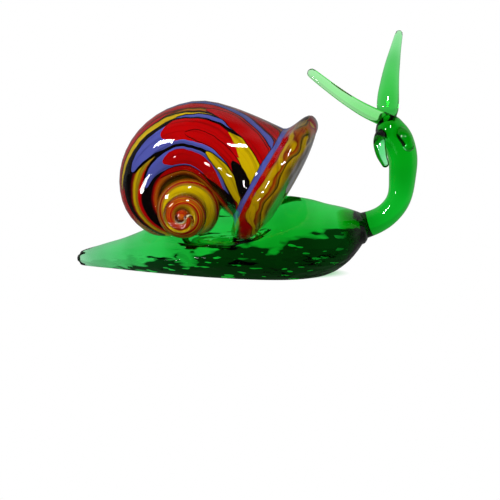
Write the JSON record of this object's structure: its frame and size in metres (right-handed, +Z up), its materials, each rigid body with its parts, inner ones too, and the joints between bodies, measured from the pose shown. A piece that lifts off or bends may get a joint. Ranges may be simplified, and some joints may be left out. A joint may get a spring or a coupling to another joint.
{
  "type": "snail figurine",
  "caption": "Glass snail ornament: a green foot with pulled tail, bent neck and drawn tentacles, and a cased, coiled, swirl-striped shell with a flared lip. It stands on a flat sole.",
  "frame": {"origin": "on the flat sole, under the shell", "axes": "+X towards the head, +Z up, the shell's spire points to -Y"},
  "size_m": [0.142, 0.0593, 0.0985],
  "materials": {
    "green_glass": "polished",
    "strand_glass": "polished",
    "clear_glass": "polished"
  },
  "bodies": {
    "root": {"foot": "green_glass", "neck_and_head": "green_glass", "near_tentacle": "green_glass", "far_tentacle": "green_glass", "hooked_feeler": "green_glass", "stub_feeler": "green_glass", "shell_core": "strand_glass", "shell_casing": "clear_glass"}
  },
  "joints": []
}
